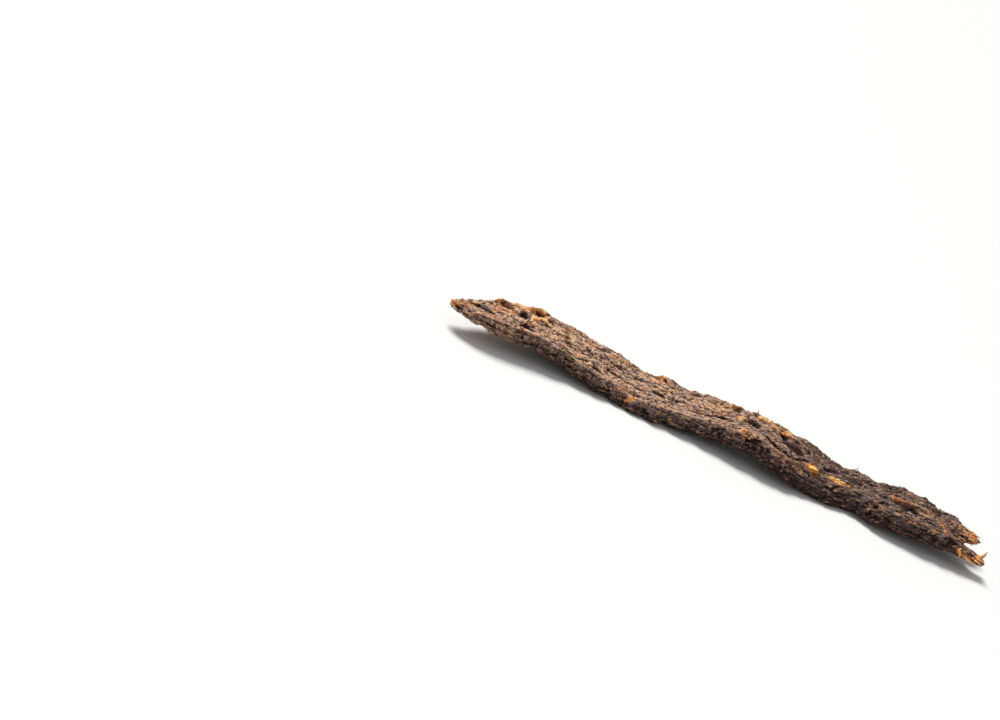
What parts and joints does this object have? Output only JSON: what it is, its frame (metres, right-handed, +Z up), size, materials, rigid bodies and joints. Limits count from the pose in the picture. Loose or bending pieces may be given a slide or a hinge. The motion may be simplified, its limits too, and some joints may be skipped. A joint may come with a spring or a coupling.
{
  "type": "beef jerky strip",
  "caption": "Long flat strip of dried beef, lying face up, with a craggy dark surface, a thick worn side, a tapered tip and a torn, forked end.",
  "frame": {"origin": "on the ground under the middle of the strip's outline, in length and in width", "axes": "+X along the strip towards its torn end, +Y across it away from the thick worn side, +Z up out of the broad face"},
  "size_m": [0.151, 0.0306, 0.0083],
  "materials": {
    "dried_beef": "rough, dry, craggy dark brown meat with tan grain, near-black creases and small golden fat flecks"
  },
  "bodies": {
    "root": {"jerky_strip": "dried_beef"}
  },
  "joints": []
}
